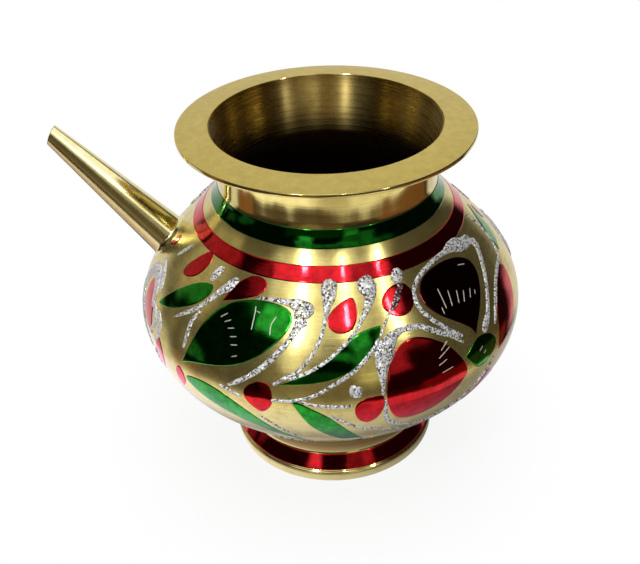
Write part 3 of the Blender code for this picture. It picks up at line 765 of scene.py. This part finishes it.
def make_spout_fillet(metal):
    """Brazing metal round the spout's root, hollow from the spout down to the shoulder."""
    foot = spout_foot(SPOUT_TURN, 0, 0)
    corner = spout_point(foot, SPOUT_TURN)
    high = spout_point(foot + FILLET_REACH, SPOUT_TURN)
    axis_point = spout_point(foot, SPOUT_TURN, spout_radius(foot))
    away = corner - axis_point
    level, slope = (np.interp(corner[:, 2], LINE[::-1, 1], NORMAL[::-1, k]) for k in range(2))
    normal = np.column_stack([unit(corner[:, :2]) * level[:, None], slope])
    away -= (away * normal).sum(1)[:, None] * normal
    low = corner + unit(away) * FILLET_REACH
    low[:, :2] -= unit(low[:, :2]) * off_body(low, -FILLET_SUNK)[:, None]
    inward = unit(axis_point - corner) * FILLET_DEPTH
    rings = round_corner(high, corner, low, FILLET_STEPS)
    rings += [low - normal * FILLET_DEPTH, corner - normal * FILLET_CORNER_DEPTH + inward, high + inward]
    faces = grid_faces(len(rings), SPOUT_SEGMENTS, close_rows=True, close_columns=True)
    make_piece("spout_fillet", np.concatenate(rings), faces, (metal,), ("spout_solder",))


def cut_spout_hole(shell):
    """The round hole under the spout, drilled along it through the shoulder."""
    out = (SPOUT_ROOT_R - SPOUT_WALL) * spout_out(SPOUT_TURN)
    ends = [ROOT + FORWARD * stop + out for stop in (-DRILL_REACH, DRILL_REACH)]
    faces = [list(quad) for quad in grid_faces(2, SPOUT_SEGMENTS, close_columns=True)]
    faces += [list(range(SPOUT_SEGMENTS))[::-1], list(range(SPOUT_SEGMENTS, 2 * SPOUT_SEGMENTS))]
    mesh = new_mesh("spout_drill", np.concatenate(ends), faces)
    face_outward(mesh)
    drill = linked("spout_drill", mesh)
    boolean = shell.modifiers.new("Drill", "BOOLEAN")
    boolean.operation = "DIFFERENCE"
    boolean.solver = "EXACT"
    boolean.object = drill
    bpy.context.view_layer.update()
    cut = bpy.data.meshes.new_from_object(shell.evaluated_get(bpy.context.evaluated_depsgraph_get()))
    shell.modifiers.clear()
    shell.data = cut
    bpy.data.objects.remove(drill, do_unlink=True)


# Materials

class Graph:
    """A node tree that is filled node by node, inputs given as values or as another node's socket."""

    def __init__(self, tree):
        self.tree = tree
        tree.nodes.clear()

    def add(self, kind, inputs, **settings):
        node = self.tree.nodes.new("ShaderNode" + kind)
        for key, value in settings.items():
            setattr(node, key, value)
        for key, value in inputs.items():
            if isinstance(value, bpy.types.NodeSocket):
                self.tree.links.new(value, node.inputs[key])
            else:
                node.inputs[key].default_value = value
        return node

    def mix(self, share, one, other):
        return self.add("Mix", {0: share, 6: one, 7: other}, data_type="RGBA").outputs[2]

    def math(self, operation, one, other=0.5):
        return self.add("Math", {0: one, 1: other}, operation=operation).outputs[0]

    def vector(self, operation, one, other=(0, 0, 0), output="Vector"):
        return self.add("VectorMath", {0: one, 1: other}, operation=operation).outputs[output]

    def parts(self, vector):
        return self.add("SeparateXYZ", {"Vector": vector}).outputs

    def scaled(self, value, low, high, to_low, to_high, smooth=False):
        inputs = {"Value": value, "From Min": low, "From Max": high, "To Min": to_low, "To Max": to_high}
        kind = "SMOOTHSTEP" if smooth else "LINEAR"
        return self.add("MapRange", inputs, interpolation_type=kind).outputs[0]

    def noise(self, vector, scale, detail=2.0, roughness=0.5):
        inputs = {"Vector": vector, "Scale": scale, "Detail": detail, "Roughness": roughness}
        return self.add("TexNoise", inputs).outputs[0]

    def bump(self, height, distance, normal=None):
        inputs = {"Height": height, "Distance": distance, "Strength": 1.0}
        if normal:
            inputs["Normal"] = normal
        return self.add("Bump", inputs).outputs[0]


def new_material(name):
    made = bpy.data.materials.new(name)
    made.use_nodes = True
    return made, Graph(made.node_tree)


def surface(graph, **inputs):
    shader = graph.add("BsdfPrincipled", {key.replace("_", " "): value for key, value in inputs.items()})
    graph.add("OutputMaterial", {"Surface": shader.outputs[0]})


def turned_material(name):
    """A material, its place about the pot's axis, and a place that is the same all round each turned circle."""
    made, graph = new_material(name)
    place = graph.vector("SUBTRACT", graph.add("TexCoord", {}).outputs["Object"], (AXIS_X, 0, 0))
    radius = graph.vector("LENGTH", graph.vector("MULTIPLY", place, (1, 1, 0)), output="Value")
    return made, graph, place, graph.add("CombineXYZ", {"X": radius, "Z": graph.parts(place)["Z"]}).outputs[0]


def brass_material(name, colour, stain, roughness, lines, wave, metallic=1.0, brushed=0.0, painted_shade_heights=None,
                   painted_shade_colour=(0, 0, 0), painted_reflection_below=None):
    """Turned brass: fine lines round the axis, waves, a little tarnish, painted shade between two heights in metres,
    and painted dark reflection below.
    """
    made, graph, place, ring = turned_material(name)
    fine = graph.noise(ring, *BRASS_LINES)
    broad = graph.noise(place, *BRASS_WAVES)
    patches = graph.noise(place, *BRASS_PATCHES)
    normal = graph.bump(fine, lines * MM, graph.bump(broad, wave * MM))
    shade = graph.mix(graph.scaled(patches, *BRASS_STAINED, 0.0, 1.0), (*colour, 1), (*stain, 1))
    # Painted dark reflection: faces turned downward are mixed toward a dark brown
    if painted_reflection_below:
        facing = graph.parts(graph.add("NewGeometry", {}).outputs["Normal"])["Z"]
        shade = graph.mix(graph.scaled(facing, *BRASS_PAINTED_BELOW, 1.0, 0.0, True), shade, (*painted_reflection_below, 1))
    # Painted shade: across two heights the colour goes over to a dark one
    if painted_shade_heights:
        height = graph.parts(place)["Z"]
        shade = graph.mix(graph.scaled(height, *painted_shade_heights, BRASS_PAINTED_SHADE, 0.0, True), shade, (*painted_shade_colour, 1))
    tangent = graph.add("Tangent", {}, direction_type="RADIAL", axis="Z").outputs[0]
    surface(
        graph, Metallic=metallic, Normal=normal, Tangent=tangent,
        Anisotropic=brushed, Anisotropic_Rotation=BRUSH_TURN,
        Base_Color=graph.mix(graph.scaled(fine, *BRASS_LINED), shade, (*stain, 1)),
        Roughness=graph.scaled(fine, *ROUGHENED, *(roughness * share for share in BRASS_ROUGHER)))
    return made


def satin_material(name, colour, stain, roughness, metallic=1.0):
    """Brass left matt from the lathe's cutting face: fine grain all over."""
    made, graph, place, ring = turned_material(name)
    grain = graph.noise(place, *SATIN_GRAIN)
    fine = graph.noise(ring, *SATIN_LINES)
    patches = graph.noise(place, *SATIN_PATCHES)
    normal = graph.bump(grain, SATIN_GRAIN_DEPTH * MM, graph.bump(fine, SATIN_LINE_DEPTH * MM))
    surface(
        graph, Metallic=metallic, Normal=normal,
        Base_Color=graph.mix(graph.scaled(patches, *SATIN_STAINED, 0.0, 1.0), (*colour, 1), (*stain, 1)),
        Roughness=graph.scaled(grain, *ROUGHENED, *(roughness * share for share in SATIN_ROUGHER)))
    return made


def lacquer_material(name, colour, deep, lines, coat=0.22):
    """Clear coloured lacquer over turned brass: the lines under it show, and the colour pools a little."""
    made, graph, place, ring = turned_material(name)
    fine = graph.noise(ring, *LACQUER_LINES)
    broad = graph.noise(place, *LACQUER_WAVES)
    pools = graph.noise(place, *LACQUER_POOLS)
    normal = graph.bump(fine, lines * MM, graph.bump(broad, LACQUER_WAVE_DEPTH * MM))
    surface(
        graph, Metallic=1.0, Normal=normal, Coat_Weight=coat, Coat_Roughness=COAT_ROUGHNESS,
        Base_Color=graph.mix(graph.scaled(pools, *LACQUER_POOLED, 0.0, 1.0), (*colour, 1), (*deep, 1)),
        Roughness=graph.scaled(fine, *ROUGHENED, *LACQUER_ROUGHNESS))
    return made


def glitter_material(name, glue, gap, flakes_from=0.18, flakes_to=0.42):
    """Silver flakes lying every way in dried glue, specks of glue between them, and gaps onto the ground."""
    made, graph = new_material(name)
    place = graph.add("TexCoord", {}).outputs["Object"]
    flakes = graph.add("TexVoronoi", {"Vector": place, "Scale": FLAKE_SCALE}).outputs["Color"]
    tilt = graph.vector("SUBTRACT", flakes, (0.5, 0.5, 0.5))
    normal = graph.vector("ADD", graph.add("NewGeometry", {}).outputs["Normal"], tilt)
    normal = graph.vector("NORMALIZE", normal)
    tones = graph.parts(flakes)
    flake = graph.scaled(tones["X"], flakes_from, flakes_to, 0.0, 1.0)
    shader = graph.add("BsdfPrincipled", {
        "Metallic": FLAKE_METALLIC, "Normal": normal, "Roughness": FLAKE_ROUGHNESS,
        "Base Color": graph.mix(flake, (*glue, 1), (*FLAKE_COLOUR, 1))})
    clear = graph.add("BsdfTransparent", {}).outputs[0]
    open_gap = graph.math("LESS_THAN", tones["Y"], gap)
    covered = graph.add("MixShader", {0: open_gap, 1: shader.outputs[0], 2: clear}).outputs[0]
    graph.add("OutputMaterial", {"Surface": covered})
    return made


# Studio

def make_camera():
    back = Vector((0, -math.cos(CAMERA_TILT), math.sin(CAMERA_TILT)))
    right = Vector((1, 0, 0))
    up = back.cross(right)
    turned_right = right * math.cos(CAMERA_ROLL) + up * math.sin(CAMERA_ROLL)
    turned_up = up * math.cos(CAMERA_ROLL) - right * math.sin(CAMERA_ROLL)
    data = bpy.data.cameras.new("camera")
    data.lens = CAMERA_LENS
    data.sensor_width = CAMERA_SENSOR
    data.clip_start = CAMERA_CLIP
    camera = linked("camera", data)
    matrix = Matrix((turned_right, turned_up, back)).transposed().to_4x4()
    matrix.translation = Vector(CAMERA_PLACE) * MM
    to_pot = Matrix.Translation((AXIS_X, 0, 0)) @ Matrix.Rotation(math.radians(VIEW_TURN), 4, "Z")
    camera.matrix_world = to_pot @ matrix
    bpy.context.scene.camera = camera


def make_lamp(name, azimuths, elevations, radiance, distance=LAMP_DISTANCE):
    """A soft box facing the belly that fills a range of directions, in degrees, at a given radiance."""
    a, e = math.radians(sum(azimuths) / 2 + VIEW_TURN), math.radians(sum(elevations) / 2)
    out = Vector((math.cos(e) * math.cos(a), math.cos(e) * math.sin(a), math.sin(e)))
    across, upward = (math.radians(pair[1] - pair[0]) / 2 for pair in (azimuths, elevations))
    data = bpy.data.lights.new(name, "AREA")
    data.shape = "RECTANGLE"
    data.size = 2 * distance * math.tan(across) * math.cos(e)
    data.size_y = 2 * distance * math.tan(upward)
    data.energy = radiance * math.pi * data.size * data.size_y
    lamp = linked(name, data)
    lamp.location = Vector((AXIS_X, 0, BELLY[1] * MM)) + out * distance
    lamp.rotation_mode = "QUATERNION"
    lamp.rotation_quaternion = out.to_track_quat("Z", "Y")
    lamp.visible_camera = False
    return lamp


def make_own_lamp(lamp, collection_name):
    """A lamp that lights only the objects in a new collection, which is returned."""
    receivers = bpy.data.collections.new(collection_name)
    make_lamp(*lamp).light_linking.receiver_collection = receivers
    return receivers


def make_world():
    """The room that the pot reflects; the camera itself sees plain white."""
    world = bpy.data.worlds.new("studio")
    bpy.context.scene.world = world
    world.use_nodes = True
    graph = Graph(world.node_tree)
    toward = graph.add("TexCoord", {}).outputs["Generated"]
    turn = {"Vector": toward, "Angle": math.radians(-VIEW_TURN)}
    toward_pot = graph.add("VectorRotate", turn, rotation_type="Z_AXIS").outputs[0]
    toward = graph.parts(toward_pot)
    azimuth = graph.math("ARCTAN2", toward["X"], graph.math("MULTIPLY", toward["Y"], -1.0))
    elevation = graph.math("ARCSINE", toward["Z"])
    inputs = {"Vector": toward_pot, "Scale": ROOM_UNEVEN_SCALE, "Detail": ROOM_UNEVEN_DETAIL}
    warp = graph.parts(graph.add("TexNoise", inputs).outputs["Color"])
    uneven = math.radians(ROOM_UNEVEN)
    azimuth, elevation = (
        graph.math("ADD", angle, graph.scaled(warp[axis], *ROOM_UNEVEN_SPAN, -uneven, uneven))
        for angle, axis in ((azimuth, "X"), (elevation, "Y")))
    room = (*ROOM_DARK, 1)
    for azimuths, elevations, soft, colour in ROOM:
        share = None
        for angle, pair in ((azimuth, [side - CAMERA_SIDE for side in azimuths]), (elevation, elevations)):
            low, high, soft_edge = (math.radians(value) for value in (*pair, soft))
            for bound, rising in ((low, True), (high, False)):
                step = graph.scaled(angle, bound - soft_edge, bound + soft_edge, 1.0 - rising, 0.0 + rising, True)
                share = step if share is None else graph.math("MULTIPLY", share, step)
        room = graph.mix(share, room, (*colour, 1))
    camera_ray = graph.add("LightPath", {}).outputs["Is Camera Ray"]
    colour = graph.mix(camera_ray, room, (1, 1, 1, 1))
    graph.add("OutputWorld", {"Surface": graph.add("Background", {"Color": colour}).outputs[0]})


def make_floor():
    """A round white table top with the pot's soft shadow; to the brass it mirrors as a glow with a painted shadow
    near the pot and painted light from one side.
    """
    mesh = bpy.data.meshes.new("floor")
    form = bmesh.new()
    bmesh.ops.create_circle(form, cap_ends=True, segments=FLOOR_SEGMENTS, radius=FLOOR_R)
    form.to_mesh(mesh)
    form.free()
    floor = linked("floor", mesh)
    floor.location = (AXIS_X, 0, -FLOOR_DROP)
    made, graph = new_material("floor")
    mesh.materials.append(made)
    place = graph.add("TexCoord", {}).outputs["Object"]
    radius = graph.vector("LENGTH", place, output="Value")
    away = graph.vector("NORMALIZE", place)

    def toward(azimuth):
        turn = math.radians(azimuth + VIEW_TURN)
        return graph.vector("DOT_PRODUCT", away, (math.cos(turn), math.sin(turn), 0), "Value")

    path = graph.add("LightPath", {}).outputs
    seen = graph.math("MAXIMUM", path["Is Camera Ray"], path["Is Glossy Ray"])
    lit = graph.scaled(graph.scaled(radius, *FLOOR_SHADE, True), 0.0, 1.0, 1.0, 0.0)
    mirrored = graph.math(
        "MAXIMUM", graph.scaled(toward(FLOOR_BRIGHT_SIDE), -1.0, 1.0, *FLOOR_MIRRORED),
        graph.scaled(toward(FLOOR_FAR_SIDE), 0.0, 1.0, *FLOOR_FAR_MIRRORED))
    # Painted shadow near the pot in the mirrored glow, with a painted bright ring by the lip
    painted_shadow_near_pot = graph.math(
        "MAXIMUM", graph.scaled(radius, *FLOOR_PAINTED_SHADOW, True), graph.scaled(radius, *FLOOR_BY_LIP, True))
    mirrored = graph.math("MULTIPLY", mirrored, painted_shadow_near_pot)
    strength = graph.scaled(path["Is Camera Ray"], 0.0, 1.0, mirrored, 1.0)
    colour = graph.mix(path["Is Camera Ray"], (*FLOOR_MIRRORED_COLOUR, 1), (1, 1, 1, 1))
    glowing = graph.add("Emission", {"Color": colour, "Strength": strength}).outputs[0]
    white = graph.add("BsdfDiffuse", {"Color": FLOOR_WHITE}).outputs[0]
    mixed = graph.add("MixShader", {0: graph.math("MULTIPLY", seen, lit), 1: white, 2: glowing}).outputs[0]
    graph.add("OutputMaterial", {"Surface": mixed})
    floor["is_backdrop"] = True


# Build: the studio, the materials, the brass, then the lacquer and the glitter

bpy.context.scene.view_settings.view_transform = "Standard"
make_camera()
make_world()
make_floor()
for lamp in LAMPS:
    make_lamp(*lamp)

brass = brass_material("spun_brass", (0.82, 0.70, 0.26), (0.60, 0.46, 0.14), 0.21, 0.018, 0.09, 0.86, 0.65)
POLISHED = (0.80, 0.68, 0.27), (0.68, 0.54, 0.19), 0.10, 0.005, 0.06, 0.96, 0.3
polished = brass_material("polished_brass", *POLISHED)
# The spout's downward faces carry a painted dark reflection in dark brown
drawn = brass_material("drawn_brass", (0.90, 0.82, 0.46), (0.76, 0.66, 0.32), 0.17, 0.004, 0.10,
                       painted_reflection_below=(0.24, 0.11, 0.035))
# Painted shade: the foot's neck under the belly goes over to dark brown above about 8 to 9 mm
foot_brass = brass_material("foot_brass", *POLISHED, painted_shade_heights=(0.0090, 0.0078), painted_shade_colour=(0.30, 0.18, 0.060))
# Painted shade: the throat goes toward black from 90.5 mm down to 83.5 mm, deep in the neck
throat = brass_material("throat_brass", (0.66, 0.50, 0.17), (0.48, 0.32, 0.10), 0.27, 0.008, 0.06, 1.0, 1.0,
                        painted_shade_heights=(0.0835, 0.0905))
# A much darker copy of the brass for the inside faces, the spout's bore and the inner solder rings: painted shade,
# with some tarnish
inner = brass_material("inner_brass", (0.12, 0.07, 0.028), (0.05, 0.028, 0.012), 0.4, 0.012, 0.12)
satin = satin_material("satin_brass", (0.70, 0.55, 0.150), (0.59, 0.445, 0.108), 0.38)
braze = satin_material("brazing_metal", (0.62, 0.48, 0.18), (0.45, 0.34, 0.13), 0.3)
lacquers = {
    RED: lacquer_material("red_lacquer", (0.72, 0.010, 0.018), (0.36, 0.003, 0.008), 0.016),
    DARK: lacquer_material("dark_red_lacquer", (0.12, 0.003, 0.010), (0.07, 0.001, 0.004), 0.003),
    GREEN: lacquer_material("green_lacquer", (0.012, 0.34, 0.015), (0.002, 0.10, 0.004), 0.008),
}
band_green = lacquer_material("deep_green_lacquer", (0.006, 0.19, 0.012), (0.002, 0.09, 0.005), 0.006, 0.12)
glitter = glitter_material("silver_glitter", (0.09, 0.10, 0.12), 0.10)
glitters = {
    "bud_dots": glitter_material("dark_red_dots", (0.05, 0.002, 0.004), 0.0, 0.74, 0.84),
    "spout_flower": glitter_material("pale_glitter", (0.62, 0.54, 0.58), 0.0, 0.1, 0.5),
}
# Near-white pale metal for the scratched strokes: the cuts are real, their whiteness is a painted glint
bright = satin_material("scratch_glint_brass", (0.92, 0.90, 0.82), (0.55, 0.53, 0.44), 0.4, 0.4)

make_bowl_and_shell(brass, inner)
make_neck(satin, polished, throat)
make_foot(foot_brass)
spout = make_spout(drawn, inner)
make_spout_fillet(drawn)
make_own_lamp(SPOUT_LAMP, "spout_only").objects.link(spout)
for node, metal in (("belly_solder", inner), ("neck_solder", inner), ("foot_solder", braze)):
    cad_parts[node].data.materials[0] = metal

bands = (("green_neck_band", GREEN_BAND, band_green, GREEN), ("red_shoulder_band", RED_BAND, lacquers[RED], RED))
for name, (top, low), lacquer, slot in bands:
    run = np.linspace(along_at(top), along_at(low), BAND_STEPS)
    make_band(f"{name}_film", name, section(run), lacquer)
make_band("red_foot_band_film", "red_foot_band", foot_flare(BAND_STEPS, *FOOT_BAND_SPAN), lacquers[RED])

glitter_only = make_own_lamp(GLITTER_LAMP, "glitter_only")
scratches = [[(*point, SCRATCH_HALF) for point in stroke] for stroke in SCRATCHES]
for spray in range(SPRAYS):
    turn = SPRAY_TURN + 360 / SPRAYS * spray
    for name, slot, azimuth, *shape in BLADES:
        make_blade(f"{name}_film_{spray + 1}", f"{name}_{spray + 1}", lacquers[slot], slot, azimuth + turn, *shape)
    for group, listed in GLITTER.items():
        strokes = [points for points in listed if clear_of_spout(points, turn)]
        beads = make_beads(
            f"glitter_{group}_{spray + 1}", strokes, glitters.get(group, glitter), turn, 0.0,
            GLITTER_HEIGHT, GLITTER_ROUGH, GLITTER_SEED + spray, GLITTER_SPREAD)
        glitter_only.objects.link(beads)
    make_beads(f"scratches_{spray + 1}", scratches, bright, turn, FILM, SCRATCH_HEIGHT, 0.0, SCRATCH_SEED)

name, slot, azimuth, *shape = SIDE_LEAF
make_blade(f"{name}_film", name, lacquers[slot], slot, azimuth + SPRAY_TURN, *shape)

low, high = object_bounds()
